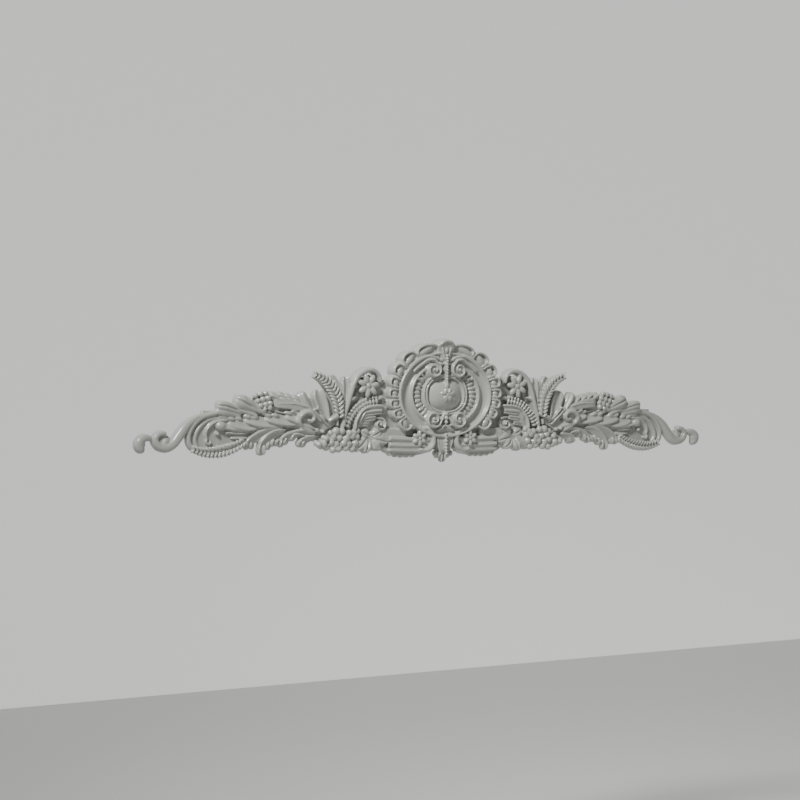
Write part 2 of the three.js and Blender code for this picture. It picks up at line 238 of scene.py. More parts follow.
def grains_along(points, pitch):
    count = max(3, round(line_of(points, READINGS)[2] / pitch))
    spots, ahead = line_of(points, count)[:2]
    headings = np.degrees(np.arctan2(ahead[:, 1], ahead[:, 0]))
    return count, spots, ahead, headings


def beside(spot, heading, shift):
    return spot[0] + heading[1] * shift, spot[1] - heading[0] * shift


def ear(points, half_width, height, pitch):
    count, spots, ahead, headings = grains_along(points, pitch)
    stroke(points, [half_width * share for share in (0.5, 0.8, 0.8, 0.4)], height - 4.5, REED)
    for i in range(count + 1):
        swell = swelling(i / count)
        for side in (-1, 1):
            u, v = beside(spots[i], ahead[i], side * half_width * 0.52 * swell)
            boss(u, v, height - GRAIN_DEPTH, half_width * 0.7 * swell, pitch * 0.36, GRAIN_DEPTH,
                 headings[i] - side * GRAIN_LEAN)


def frill(points, half_width, height, pitch):
    count, spots, ahead, headings = grains_along(points, pitch)
    stroke(points, half_width * 0.9, height - GRAIN_DEPTH, FLAT)
    for i in range(count + 1):
        for shift, long in ((-0.34, 0.62), (0.5, 0.42)):
            u, v = beside(spots[i], ahead[i], half_width * shift)
            boss(u, v, height - GRAIN_DEPTH, half_width * long, pitch * 0.42, GRAIN_DEPTH,
                 headings[i] + 84)


print("swelling of an ear from foot to tip", swelling(0), swelling(0.5), swelling(1))

# %% [markdown]
# Spirals are points on an arc whose radius shrinks as it turns. A flower is a ring of petals
# around a small heart, with a low boss behind them.

# %% Spirals and flowers
def arc_points(u, v, radius, end_radius, angle, end_angle, count):
    spots = []
    for i in range(count + 1):
        t = i / count
        r = radius + (end_radius - radius) * t
        a = math.radians(angle + (end_angle - angle) * t)
        spots.append((u + r * math.cos(a), v + r * math.sin(a)))
    return spots


PETAL_DEPTH = 4.6


def flower(u, v, radius, height, petals, start):
    boss(u, v, height - 8, radius * 0.6, out=5)
    for i in range(petals):
        angle = start + 360 * i / petals
        a = math.radians(angle)
        reach = radius * 0.6
        half = reach * math.sin(math.pi / petals) * 0.92
        petal_u, petal_v = u + reach * math.cos(a), v + reach * math.sin(a)
        boss(petal_u, petal_v, height - PETAL_DEPTH, radius * 0.41, half, PETAL_DEPTH, angle)
    boss(u, v, height - 3, radius * 0.2, out=3)


print("spirals and flowers ready, forms so far", len(forms))

# %% [markdown]
# The outer end of a wing. A stem grows out of the loop, dips and winds up to a small volute, and
# a hooked tip runs on from it like the curl of a wave.

# %% End scrolls
stroke([(430, -22), (446, -26), (460, -34), (471, -44), (481, -57), (490, -68), (501, -74.5),
        (513, -72.5), (520, -65), (519, -57), (511, -52), (501, -53)],
       [2, 3.8, 5.4, 7.2, 8.6, 9, 8.8, 8.2, 7.4, 6.4, 5.4, 4.2], [9, 11, 13, 14, 14.5, 13.5, 13],
       REED, 24)
boss(505, -65, 3, 13, 12, 7)
boss(503.5, -66, 6, 6.6, 8.4, 6.4, 20)
stroke([(522, -61), (535, -58.5), (544, -62), (547.2, -69), (544, -76), (536.5, -79)],
       [4, 5.6, 7.6, 8.2, 7.8, 5.4], [9, 11, 12.5, 13.5, 12.5, 10.5], REED, 24)
boss(542.5, -69, 5, 6.5, 7, 7)
print("end scrolls", len(forms))

# %% [markdown]
# The loop: a round rim with a ridge inside it, a tendril that curls to a bead, the hooked head of
# the acanthus with two small leaves under it, and an ear of corn in two rows along its foot.

# %% Loop
stroke([(398, -28), (425, -30), (440, -38), (450, -50), (453.5, -63), (449, -76)], 4, 8.6, REED)
stroke([(396, -32), (415, -33.5), (429, -41), (435, -52), (432, -64)], [4, 5, 4.6, 3.6, 3],
       [12, 12, 11, 9.6], RIDGE)
stroke(arc_points(430, -66, 5.4, 2.4, 60, -230, 8), [2.4, 2.4, 2], 10, REED)
stroke([(362, -47), (384, -43), (402, -40), (411, -43), (414, -50)], [4, 7.4, 8.6, 7.6, 4],
       [12, 13.5, 14.5, 13.5, 10], LEAF_BACK, 28)
boss(410, -41, 8, 9.6, 7.6, 7)
boss(415.5, -53.5, 6, 4, 3.6, 5.4)
stroke([(364, -51), (382, -50.5), (396, -50), (404, -52)], [4, 5.4, 4.6, 2.8], [11, 12, 12, 10.5],
       LEAF_BACK)
stroke([(362, -59), (376, -58), (388, -58.5), (394, -61)], [4, 5.6, 4.8, 2.8], [10, 11, 11, 9],
       LEAF_BACK)
stroke([(417, -19.5), (443, -19)], 2.8, 6.6, FLAT)
ear([(372, -67.5), (384, -73.5), (400, -79), (420, -82.5), (440, -82), (458, -77.5)], 10, 14.5, 6.4)
print("loop", len(forms))

# %% [markdown]
# The large acanthus leaf that carries a wing. Its rib runs the whole length, and broad lobes lie
# above the rib, each over the next, with two small curled tips on the upper edge of each.

# %% Acanthus
stroke([(228, -55), (250, -47.5), (270, -43.5), (292, -41.5), (312, -41.5), (332, -45), (352, -49),
        (372, -49.5), (392, -46), (404, -43)], [3, 4, 4.6, 4.6, 4.4, 3.6, 2.4],
       [13, 13.5, 13, 12.5, 12.4, 11.6], LEAF)
LOBES = [
    [(345, -43), (366, -41.5), (386, -37), (398, -33)],
    [(312, -39), (334, -37), (352, -33.5), (370, -30)],
    [(275, -38), (296, -34.5), (316, -31), (334, -28)],
    [(238, -46), (258, -37), (277, -30), (298, -24)],
]
for i, points in enumerate(LOBES):
    stroke(points, [5, 9.4, 10.4, 7.4], [12.4 + i * 0.6, 14.6 + i * 0.6, 15.2 + i * 0.6, 13 + i],
           LEAF_BACK, 32)
    tip_u, tip_v = points[-1]
    for back, rise in [(19, 3.2), (6, 3)]:
        boss(tip_u - back, tip_v + rise, 6.4 + i * 0.6, 8, 4.2, 6.6, 18)
print("acanthus lobes", len(LOBES), "forms so far", len(forms))

# %% [markdown]
# Grooved fronds droop below the rib. Short leaflets start under their lower edges, so that the
# edge is cut into teeth instead of being one smooth line.

# %% Fronds
FRONDS = [
    ([(300, -46), (318, -50), (334, -54), (349, -60), (359, -66), (366, -72.5)],
     [4, 8.4, 10, 10, 8, 5]),
    ([(294, -50), (309, -52), (322, -57.5), (331, -65), (336.5, -72), (338, -80)],
     [3.4, 5.6, 8, 9, 8.6, 7]),
    ([(242, -54), (268, -53), (285, -57), (297, -62), (304, -68)], [3, 5, 7.6, 8.6, 6]),
    ([(238, -61), (256, -63), (267, -69), (272, -77)], [3, 6, 7.6, 6]),
]
for points, widths in FRONDS:
    stroke(points, widths, [12, 13.5, 13.5, 12.4, 11], LEAF, 32)
stroke([(338, -70), (339, -79), (338, -90)], [6, 7, 6.6], [12.6, 13, 11.4], CHANNEL, 28)
LEAFLETS = [
    (372, -73, 4.6, -60), (364, -76, 4.6, -75), (355, -75.5, 4.4, -90), (326, -76.5, 5, -75),
    (318, -71.5, 4.6, -70), (311, -71, 4.6, -60), (303, -73, 4.6, -75), (295, -69.5, 4.4, -75),
    (283, -63.5, 4.2, -60), (264, -74, 4, -60),
]
for u, v, long, turn in LEAFLETS:
    run, fall = math.cos(math.radians(turn)), math.sin(math.radians(turn))
    stroke([(u - run * 10, v - fall * 10), (u - run * 3, v - fall * 3),
            (u + run * long, v + fall * long)], [3, 5.4, 3.6], [11.6, 12, 9.4], LEAF, 24)
stroke([(262, -58), (275, -55), (285, -56)], 2, 14, REED)
print("fronds", len(FRONDS), "leaflets", len(LEAFLETS), "forms so far", len(forms))

# %% [markdown]
# The leaves that crown the outer half of a wing. Each is one veined stroke with a full head, and
# small bosses on its upper edge make the head a leaf with lobes.

# %% Crown leaves
stroke([(370, -20), (388, -14), (404, -9.5), (419, -8)], [6, 7.8, 8.6, 7.4], [11, 14, 16.5, 15.4],
       VEINED, 32)
boss(405.5, -5, 9, 7.4, 4.4, 6.4, 12)
boss(393.5, -8, 8, 7.4, 4.4, 5.8, 22)
stroke([(374, -27), (390, -22), (406, -19.5), (421, -17.5)], [4.4, 6, 7, 6], [11, 12.5, 14.5, 13],
       REED, 24)
stroke([(392, -27.5), (404, -27), (415, -25.5)], [3.6, 4.4, 3.6], [10.5, 11.5, 10], REED)
stroke([(345, -18), (357, -11), (372, -4), (387, 3)], [6, 9, 11.4, 9.6], [13, 16, 18.4, 16.4], VEINED,
       32)
boss(371, 4, 9, 8, 4.8, 7.4, 28)
boss(360, -2, 9, 7, 4.4, 6.4, 36)
stroke([(345, -26), (358, -22), (372, -17.5), (385, -15)], [3.6, 4.8, 5, 4], [13, 14, 13.5, 12], REED)
stroke([(347, -31), (358, -28.5), (372, -25)], [3, 4.2, 3.4], [12.5, 12.5, 11], REED)
print("crown leaves", len(forms))

# %% [markdown]
# Nearer the cartouche a long leaf lies flat, with four pointed lobes that stand up from it, and
# two broad leaves rise beside the ear of corn.

# %% Inner leaves
stroke([(256, -17), (277, -10), (297, -6), (320, -4)], [6, 8, 9.4, 9], [15, 16, 16, 14.5], FLAT, 28)
stroke([(262, -11), (285, -6), (312, -6)], [2, 2.4, 1.6], [17.5, 18, 16.5], REED)
STANDING_LOBES = [(304, -4, 327, 10, 8), (292, -4, 313, 11, 7.4), (282, -6, 300, 9, 7),
                  (270, -8, 286, 6.5, 6.6)]
for root_u, root_v, tip_u, tip_v, width in STANDING_LOBES:
    middle = ((root_u + tip_u) / 2 - 1, (root_v + tip_v) / 2 + 1)
    stroke([(root_u, root_v), middle, (tip_u, tip_v)],
           [3, width * 0.9, width], [15.5, 16.5, 15], RIDGE, 28)
stroke([(262, -24), (285, -20.5), (304, -18.5), (318, -16)], [4, 4.4, 3.6, 3], [13, 12.5, 12, 11],
       LEAF_BACK)
stroke([(326, -13), (304, -15)], [5, 6], 9, FLAT)
boss(284, -18, 12, 5, 3.6, 4.4, 15)
stroke([(232, -38), (244, -26), (255, -12), (264, 1), (269, 14.5)], [4, 5, 7.6, 9.8, 9.2],
       [15, 16, 16.5, 17, 15.5], RIDGE, 32)
stroke([(218, -44), (235, -29), (250, -14)], [2.2, 2.4, 2], [15, 18, 17.5], REED)
stroke([(214, -40), (230, -26), (243, -14)], [2, 2.2, 1.6], [14, 17, 16.5], REED)
stroke([(221, -38), (226, -24), (231, -8), (236, 6), (238, 18)], [5.6, 8.6, 12, 12.6, 11],
       [15, 15.5, 15, 15, 14], CHANNEL, 32)
print("inner leaves", len(forms))

# %% [markdown]
# At the root of the acanthus a thick stem winds up to a curl that stands higher than anything
# else on the wing. A few buds lie around it.

# %% Curl
stroke([(242, -56), (252, -51), (264, -44), (277, -35)], [3.4, 5.6, 6.4, 3.6], [13, 16, 16, 12], REED,
       24)
stroke([(262, -46), (271.5, -39), (275, -30), (269, -22.5), (259, -19.5), (250.5, -23.5),
        (248.5, -30), (254, -34.5), (261, -31)], [3, 4, 4.8, 5.4, 5.4, 5, 4.4, 4, 3],
       [14, 18, 21, 23, 23, 22.4, 21.6, 21, 20], REED, 24, pitch=1.6)
boss(260, -30, 8, 14, 10, 6.5)
boss(241, -49, 12, 4.6, 3.6, 4.4, 40)
boss(231, -51, 13, 4, 3.6, 4, 20)
boss(241, -14, 15, 3.2, 2.8, 3)
stroke([(246, -50), (226, -38), (204, -32)], [12, 13, 10], 10, FLAT)
print("curl", len(forms))

# %% [markdown]
# A cluster of berries sits between two leaves of the crown, in a cup of thin leaves.

# %% Berries
for shift, drop in ((0, 0), (6.5, 3), (13, 5.5)):
    cup = [(364 - shift, 7 - drop * 0.4), (360 - shift, -5 - drop * 0.5),
           (352 - shift, -15 - drop * 0.5), (341 - shift, -22 - drop * 0.2)]
    stroke(cup, [2.2, 3, 3, 2], [12, 14, 14, 12.5], REED)
for drop in (0, 5):
    stroke([(342, -15 - drop), (331, -19 - drop), (319, -20 - drop)], [2, 2.4, 1.8], 12.5, REED)
stroke([(350, 0), (324, 0)], [11, 12], 8.5, FLAT)
BERRIES = [
    (351, 7, 4.8), (342, 9.5, 5), (333, 11, 4.8), (347, -1.5, 4.8), (338, 1, 5.4), (329, 3, 5.4),
    (342, -9, 4.8), (333, -7, 5.3), (325, -5, 4.6), (335, -15, 4), (326, -12.5, 4.8),
]
for u, v, radius in BERRIES:
    boss(u, v, 11.4, radius, out=5.6)
print("berries", len(BERRIES), "forms so far", len(forms))

# %% [markdown]
# The upright ear of corn: two rows of grains lean off a bent spine and end in a point. Leaves
# stand behind it.

# %% Ear of corn
ear([(201, -26), (203, -9), (207, 6), (214, 18), (223, 29), (234, 37), (246, 41.5)], 11, 20, 6.6)
stroke([(203, -15), (204, 8), (210, 30), (217, 41)], [5, 9, 10, 8], [12, 12, 11.6], CHANNEL, 24)
stroke([(196, -30), (197, -5), (201, 18), (203, 34)], [5, 7, 8.8, 7.6], [13, 13, 13.4, 12.4], CHANNEL,
       24)
stroke([(190, -38), (188, -10), (186, 18), (187, 40)], [4, 6, 8.6, 8], [13, 14, 14.4, 13.4], CHANNEL,
       24)
stroke([(202, -28), (212, -30), (221, -36)], [4, 5.5, 3.6], [17, 18.5, 16], REED)
stroke([(203, -30), (203, -44)], [3, 2.4], [14, 15], REED)
print("ear of corn", len(forms))

# %% [markdown]
# The tall C-scroll beside the cartouche closes around an open flower.

# %% C-scroll
stroke([(194, -48), (190, -25), (184, -5), (178, 15), (172, 30), (164, 41), (151, 48.5), (138, 49.5),
        (128, 43), (124, 34), (125, 27)], [4, 4.8, 5.4, 5.8, 6, 5.6, 5, 4],
       [16, 17, 18.5, 19, 19, 17], REED, 24)
stroke([(172, -5), (166, 8), (160, 20)], [3, 5, 3], [9, 10, 9], REED)
stroke([(158, 14), (142, 36)], [14, 13], 7, FLAT)
stroke([(180, -2), (173, 3.5), (166, 4)], [2.4, 3.4, 2.2], [17, 17, 14], REED)
flower(147, 24, 20.5, 20, 7, 20)
stroke([(168, 30), (160, 34)], [3.4, 3], [15, 16], REED)
stroke([(163, 39), (157, 41)], [2.8, 2.6], [15, 16], REED)
print("C-scroll", len(forms))

# %% [markdown]
# A frilled arc with a plain fillet inside it springs from the foot of the C-scroll. Under the
# arch a leaf lies in three steps, each lower than the one above, over a small volute.

# %% Arch
frill([(187, -42), (181, -30), (172, -18), (160, -8), (147, -2), (131, 1)], 7.6, 16.5, 6.2)
stroke([(131, 0), (122, 4), (114, 3)], [3, 4.4, 3], [14, 16, 14], REED)
stroke([(172, -50), (169, -33), (160.5, -20), (149, -12.6), (135, -10), (117, -9.6)], 2.8, 18.5, REED)
stroke([(165, -30), (106, -30)], [16, 24], 6.5, FLAT)
ARCH_LEAF = [(119, -17, 147, -19.5, 8, 18.4), (130, -27.5, 151, -30, 7.4, 15.6),
             (141, -38, 157, -39, 6, 13)]
for tip_u, tip_v, mid_u, mid_v, width, crest in ARCH_LEAF:
    vein = [(169, -49), (mid_u + 8, mid_v - 4), (mid_u, mid_v), (tip_u, tip_v)]
    stroke(vein, [2.4, 5.6, width, width * 0.8], [12, crest - 1.6, crest, crest], FAN, 40, blunt=0.5)
stroke([(136, -29), (128, -29.5), (117, -31.5), (113, -39.5), (117.5, -47.5), (126, -48), (131, -42),
        (127.5, -36.5), (122.5, -39)], [2.2, 2.6, 2.8, 2.8, 2.8, 2.4, 2.2, 2, 1.8],
       [12, 14, 16, 18, 18], REED, 20, pitch=1.4)
boss(122.5, -40, 8, 7, 7, 6)
boss(123.5, -40.8, 15, 2.7, out=4.4)
stroke([(112, 28), (112, 0), (114, -24)], [5, 7, 5], 8, FLAT)
print("arch", len(forms))

# %% [markdown]
# The bunch of grapes lies on its side and narrows to a point. The grapes lie in four rows, and
# chance moves each a little, the same way on every run. The vine leaf beside them has veined
# lobes that part from one place.

# %% Grapes and vine leaf
stroke([(162, -60), (190, -66), (215, -68), (239, -72)], [14, 18, 14, 5], 11, FLAT)
chance = np.random.default_rng(11)
GRAPE = 6.6
GRAPE_PITCH = 11.6
for v, first, count in [(-80.5, 177, 4), (-71, 170, 7), (-61.5, 166, 6), (-52.5, 172, 4)]:
    for i in range(count):
        wobble = chance.uniform(-1, 1, 4)
        u = first + i * GRAPE_PITCH
        radius = GRAPE + 0.6 * wobble[2] - 0.02 * abs(u - 198)
        boss(u + 1.8 * wobble[0], v + 2 * wobble[1] - 0.06 * i, 12.2 + wobble[3], radius, out=GRAPE)
boss(241, -70, 9.6, 5.6, out=5)
boss(224, -77.5, 10.4, 6, out=5.4)
boss(233, -75.5, 9.6, 5.4, out=5)
boss(228, -61.5, 11, 5.4, out=5)
boss(216, -54, 12, 5, out=4.6)
boss(166, -51, 12, 4.8, out=4.6)
stroke([(160, -78), (140, -70), (120, -66)], [10, 14, 12], 11, FLAT)
VINE_LOBES = [
    [(143, -60), (152, -55), (160, -51)],
    [(138, -61), (129, -56), (119, -51)],
    [(137, -64), (122, -67), (107, -71)],
    [(147, -62), (158, -73), (171, -85)],
    [(139, -66), (131, -76), (122, -83)],
    [(144, -65), (148, -77), (152, -89)],
]
for i, points in enumerate(VINE_LOBES):
    stroke(points, [6.4, 9.8 + 0.3 * i, 3], [13, 14 + 0.9 * i, 12 + 0.8 * i], VEINED, 32, blunt=0.7)
print("grapes and leaf", len(forms))

# %% [markdown]
# Under the cartouche three reeds run side by side over a skirt with a toothed edge, and end in a
# small C-scroll that holds a flower.

# %% Base
for v, half, crest in [(-65.4, 5.6, 17), (-76.4, 5.2, 16.4), (-85, 3, 15)]:
    stroke([(108, v + 2), (92, v + 0.5), (60, v - 0.5), (24, v)], half, crest, REED, blunt=0.5)
stroke([(106, -73), (60, -76), (24, -75)], 12, 14.2, FLAT)
stroke([(124, -54), (104, -56), (70, -56)], [9, 10, 5], 12, FLAT)
stroke([(113, -48), (111, -74)], 8, 13, FLAT)
stroke([(122, -74), (110, -82), (92, -87), (60, -88.5), (30, -85)], [5, 6, 6.4, 6, 5], 10, REED)
for u, v in [(100, -89), (90, -91.5), (79, -92.5), (68, -92.5), (57, -92)]:
    boss(u, v, 3, 6, 4.4, 7, -20)
stroke([(46, -47), (33, -49.5), (24.5, -58), (22.5, -69), (27, -79.5), (38, -85), (51, -82)],
       [3.4, 4.8, 5.6, 6, 5.6, 4.8, 3], [20, 21.5, 22, 20.5], REED, 24)
flower(50, -64.5, 14, 21, 6, 30)
boss(60, -44, 12, 7, 6, 7)
boss(49, -48.5, 13, 6, 5.4, 7)
print("base", len(forms))

# %% [markdown]
# The cartouche is turned like a plate: half its profile, as radius and height, is spun once round.
# Then it is pressed to an oval, and the dome in its middle is drawn a little square.

# %% Cartouche
OVAL_V = 9.0
OVAL_RATIO = 0.79
DOME_RADIUS = 46
SQUARENESS = 2.4
MOULDINGS = [(0, 0), (92, 0), (92, 16), (91.2, 20.4), (89.8, 22), (88.2, 22), (86.8, 20.4),
             (85.8, 17), (81, 14.8), (76, 14), (71.4, 15), (69.4, 17), (68, 20), (66, 21),
             (64.2, 19.6), (63, 14), (57, 11), (51, 10.6), (45.4, 12), (44, 16), (42.8, 19.8),
             (41.2, 20.4), (39.6, 18), (38.7, 16), (37.8, 19.8), (36.4, 20.4), (35, 16.4), (34, 13.6),
             (32, 15.8), (29.5, 18), (26, 20.4), (21, 22.9), (15, 24.9), (8, 26.2), (0, 26.5)]
oval = bmesh.new()
corners = [oval.verts.new((radius * MM, -h * MM, 0)) for radius, h in MOULDINGS]
rim = [oval.edges.new(pair) for pair in zip(corners, corners[1:])]
bmesh.ops.spin(oval, geom=corners + rim, cent=(0, 0, 0), axis=(0, 1, 0), angle=2 * math.pi,
               steps=120, use_merge=True)
bmesh.ops.remove_doubles(oval, verts=oval.verts, dist=1e-6)
for vert in oval.verts:
    radius = math.hypot(vert.co.x, vert.co.z)
    if 0 < radius < DOME_RADIUS * MM:
        x, z = abs(vert.co.x / radius), abs(vert.co.z / radius)
        squared = (x ** SQUARENESS + z ** SQUARENESS) ** (-1 / SQUARENESS)
        vert.co.x *= squared
        vert.co.z *= squared
bmesh.ops.scale(oval, verts=oval.verts, vec=(1, 1, OVAL_RATIO))
bmesh.ops.translate(oval, verts=oval.verts, vec=(0, 0, OVAL_V * MM))
keep(oval)
print("mouldings of", len(MOULDINGS), "points")

# %% [markdown]
# A ring of gadroons fills the hollow between two fillets, and a sprig of six leaves lies on the
# dome.

# %% Gadroons and sprig
GADROONS = 38
GADROON_RING = 55
for i in range(GADROONS):
    a = 2 * math.pi * (i + 0.5) / GADROONS
    u, v = GADROON_RING * math.cos(a), OVAL_V + GADROON_RING * OVAL_RATIO * math.sin(a)
    boss(u, v, 12, 8.4, 4, 6.4, math.degrees(a))
SPRIG = [(12, 8, 6, 2.8), (60, 7, 4.6, 2.4), (125, 6.6, 4.4, 2.4), (165, 8, 5.6, 2.8),
         (222, 6.6, 4.6, 2.6), (292, 7, 5.2, 2.8)]
for angle, reach, long, wide in SPRIG:
    a = math.radians(angle)
    boss(reach * math.cos(a), OVAL_V + reach * math.sin(a), 25.4, long, wide, 3.4, angle)
boss(0, OVAL_V, 26.2, 2.2, out=2.8)
print("gadroons", GADROONS, "forms so far", len(forms))

# %% [markdown]
# The scalloped shell edge around each side of the cartouche: every lobe is a lip bent to a U, with
# an egg inside it, over a shared floor. Lobes are set by angle, and the middle ones are smallest.
# Over the cartouche's shoulders the edge stands out a little further than the oval.

# %% Scallops
LIP = [(-1, 0), (-0.95, 0.8), (-0.7, 0.97), (-0.3, 1), (0.2, 1), (0.65, 0.94), (0.92, 0.76), (1, 0)]
SCALLOPS = [67, 47, 29, 14.5, 1.5, -11, -23.5, -37]
TOP_END = 83
LOW_END = -47
SHOULDER = 0.055


def rim_spot(angle, radius):
    a = math.radians(angle)
    if angle > 0:
        radius *= 1 + SHOULDER * math.sin(2 * a) ** 2 * (radius - 90) / 20
    return radius * math.cos(a), OVAL_V + radius * OVAL_RATIO * math.sin(a)


lobe_ends = [TOP_END] + [(a + b) / 2 for a, b in zip(SCALLOPS, SCALLOPS[1:])] + [LOW_END]
stroke([rim_spot(angle, 99) for angle in range(LOW_END, TOP_END + 1, 5)], 10, 17, FLAT)
for high, low, middle in zip(lobe_ends, lobe_ends[1:], SCALLOPS):
    length = math.dist(rim_spot(low, 106), rim_spot(high, 106))
    side = 2.5 / length
    bend = [(side, 91), (side, 102), (0.2, 108), (0.5, 110), (0.8, 108), (1 - side, 102),
            (1 - side, 91)]
    edge = [rim_spot(low + (high - low) * share, radius) for share, radius in bend]
    stroke(edge, [2.1, 2.3, 2.5, 2.7, 2.5, 2.3, 2.1], [20.5, 22.6, 23, 23, 23, 22.6, 20.5], LIP,
           pitch=1.4)
    a = math.radians(middle)
    heading = math.degrees(math.atan2(OVAL_RATIO * math.sin(a), math.cos(a)))
    egg_u, egg_v = rim_spot(middle, 99.6)
    boss(egg_u, egg_v, 17, 5.8, length * 0.5 - 4.2, 5.2, heading)
print("scallops", len(SCALLOPS), "on each side, forms so far", len(forms))

# %% [markdown]
# Volutes grow out of the cartouche over and under the dome, and a mantle lies over its shoulder.

# %% Volutes
stroke([(76, 47), (66, 58), (52, 68), (36, 73.5), (20, 71.5), (6, 64)], [5, 5.4, 5, 4.4, 4, 3],
       [21, 22.5, 23, 22], REED)
stroke([(64, 46), (54, 55), (42, 62.5), (30, 66.5)], [4, 4.4, 4.4, 3.6], [21, 22, 22.5], REED)
stroke([(75, 52), (58, 58), (38, 67), (16, 66)], [6, 9, 7, 5], 17.5, FLAT)
boss(25, 50.5, 15, 17, 15.5, 8)
stroke([(46, 62), (35, 67.5), (24, 67.5)] + arc_points(25, 51, 14.4, 4.4, 115, 600, 12),
       [3, 3.4, 3.4, 3, 2.7, 2.4], [22, 25, 26.6, 26.6, 27, 27, 27.4], REED, 20, pitch=1.4)
boss(25, 51, 22.6, 3.4, out=4.6)
boss(25, -32, 14, 17.5, 16, 8)
stroke([(4, -18), (5, -27)] + arc_points(25, -32, 15.4, 4.4, 190, 680, 13),
       [3, 3.6, 3.2, 3, 2.7, 2.4], [21, 25, 26, 26, 26.4, 26.8], REED, 20, pitch=1.4)
boss(25, -32, 22, 3.4, out=4.6)
for spot_u, spot_v, turn in [(46, 43, 40), (53, 36, 30), (46, 35, 25)]:
    boss(spot_u, spot_v, 16, 5.4, 2.6, 4.4, turn)
print("volutes", len(forms))

# %% [markdown]
# The crest is a thick leaf with upright sides that curls forward at its tip. A string of beads
# that get smaller runs down from it to the sprig.

# %% Crest
stroke([(0, 62), (0, 74), (0, 84), (0, 94), (0, 104.5)], [7, 11, 18, 20, 17.5],
       [20, 21, 21.5, 25, 26], FLAT, 40, blunt=0.8)
stroke([(-15, 88), (-12, 94), (-6, 98.2), (0, 99.4), (6, 98.2), (12, 94), (15, 88)],
       [3.2, 4.4, 4.8, 4.8, 4.8, 4.4, 3.2], [24, 27, 28.9, 28.9, 28.9, 27, 24], REED, 24)
for side in (-1, 1):
    stroke([(side * 3, 66), (side * 5.6, 78), (side * 9, 90)], [1.8, 2.2, 2.6], [22.6, 24.4, 26], REED)
    stroke([(side * 8, 62), (side * 15, 73), (side * 19, 83)], [2.6, 4.4, 3.6], [19, 20, 17], REED)
boss(0, 84, 22, 2.8, 5, 3.6)
stroke([(0, 78), (0, 26)], [3.4, 3], [22.4, 22.4], REED)
for i in range(10):
    boss(0, 75 - 5 * i, 24.4 - 0.14 * i, 2.7, 2.35, 3.4)
boss(0, 25, 24.4, 2.6, 4.6, 3)
print("crest", len(forms))

# %% [markdown]
# Below the dome a short string of beads leads to the pendant: a shield between two curved ribs,
# with beads down its middle and leaf tips at its end.

# %% Pendant
stroke([(0, -16), (0, -40)], [5, 4], [22, 20], REED)
boss(0, -23, 21.6, 3.8, 3.4, 4.2)
boss(0, -30.5, 21.2, 3.8, 3.4, 4.2)
boss(0, -37.5, 20.6, 3.4, 3, 4)
for side in (-1, 1):
    stroke([(side * 1, -41), (side * 10, -49), (side * 19, -52)], [3, 4.4, 3], [23, 22.5, 19], REED)
    stroke([(side * 14, -57), (side * 14, -70), (side * 10, -82), (side * 4, -92)],
           [2.4, 2.8, 2.6, 2.2], [18, 19.4, 18.4, 16], REED)
    stroke([(side * 4, -86), (side * 9, -94), (side * 11, -99)], [4, 4.2, 2.6], [15, 14, 11], REED)
    boss(side * 15, -90, 8, 4.6, 5.4, 6)
stroke([(0, -42), (0, -56)], [10, 14], [19, 19], FLAT)
stroke([(0, -54), (0, -70), (0, -91)], [16, 14, 6], [18, 18.4, 15.6], FLAT, 24)
stroke([(0, -88), (0, -98), (0, -106)], [5, 5, 3.4], [16, 15, 11], CHANNEL, 24)
PENDANT_BEADS = [(-58, 2.8), (-63.6, 3.2), (-69.6, 3.2), (-75.4, 3), (-81, 2.7), (-86.2, 2.4),
                 (-90.8, 2.2)]
for v, radius in PENDANT_BEADS:
    boss(0, v, 20.2, radius, radius * 0.9, 3.6)
print("pendant beads", len(PENDANT_BEADS), "forms so far", len(forms))

# %% [markdown]
# The ground is a thin plate inside the outline that ties all forms to one casting.

# %% Ground
GROUND = [
    (0, 84), (30, 80), (60, 70), (85, 48), (97, 34), (125, 34), (140, 42), (160, 36), (185, 30),
    (203, 24), (225, 8), (262, 2), (290, -4), (345, -3), (400, -12), (430, -24), (450, -36),
    (460, -54), (457, -74), (420, -84), (385, -74), (345, -66), (325, -68), (300, -60), (265, -62),
    (235, -70), (200, -76), (150, -78), (115, -76), (60, -88), (20, -82), (0, -88),
]
GROUND_DEPTH = 5.0
ground = bmesh.new()
outline = [ground.verts.new(place(u, v, 0)) for u, v in GROUND]
border = [ground.edges.new(pair) for pair in zip(outline, outline[1:] + outline[:1])]
plate = bmesh.ops.contextual_create(ground, geom=border)["faces"]
lifted = bmesh.ops.extrude_face_region(ground, geom=plate)["geom"]
front = [corner for corner in lifted if isinstance(corner, bmesh.types.BMVert)]
bmesh.ops.translate(ground, verts=front, vec=(0, -GROUND_DEPTH * MM, 0))
keep(ground)
print("ground", len(outline), "corners in its outline")

# %% [markdown]
# The other wing is the mirror image. A mirror turns faces inside out, so the normals are worked
# out again before anything is fused.

# %% Both wings
carving = bmesh.new()
for form in forms:
    carving.from_mesh(form)
bpy.data.batch_remove(forms)
everything = carving.verts[:] + carving.edges[:] + carving.faces[:]
bmesh.ops.mirror(carving, geom=everything, axis="X", merge_dist=0.0)
bmesh.ops.recalc_face_normals(carving, faces=carving.faces)
loose = bpy.data.meshes.new("loose_forms")
carving.to_mesh(loose)
carving.free()
casting = bpy.data.objects.new("scroll_casting", loose)
bpy.context.scene.collection.objects.link(casting)
print("both wings together", len(loose.polygons), "faces")

# %% [markdown]
# Hundreds of forms that run through each other could be joined by booleans, one after the other.
# A voxel remesh does it at once and gives one closed skin, with small fillets where forms meet,
# as in a real cast. One pass of smoothing is the thickness of the paint.

# %% One skin
VOXEL = 0.85


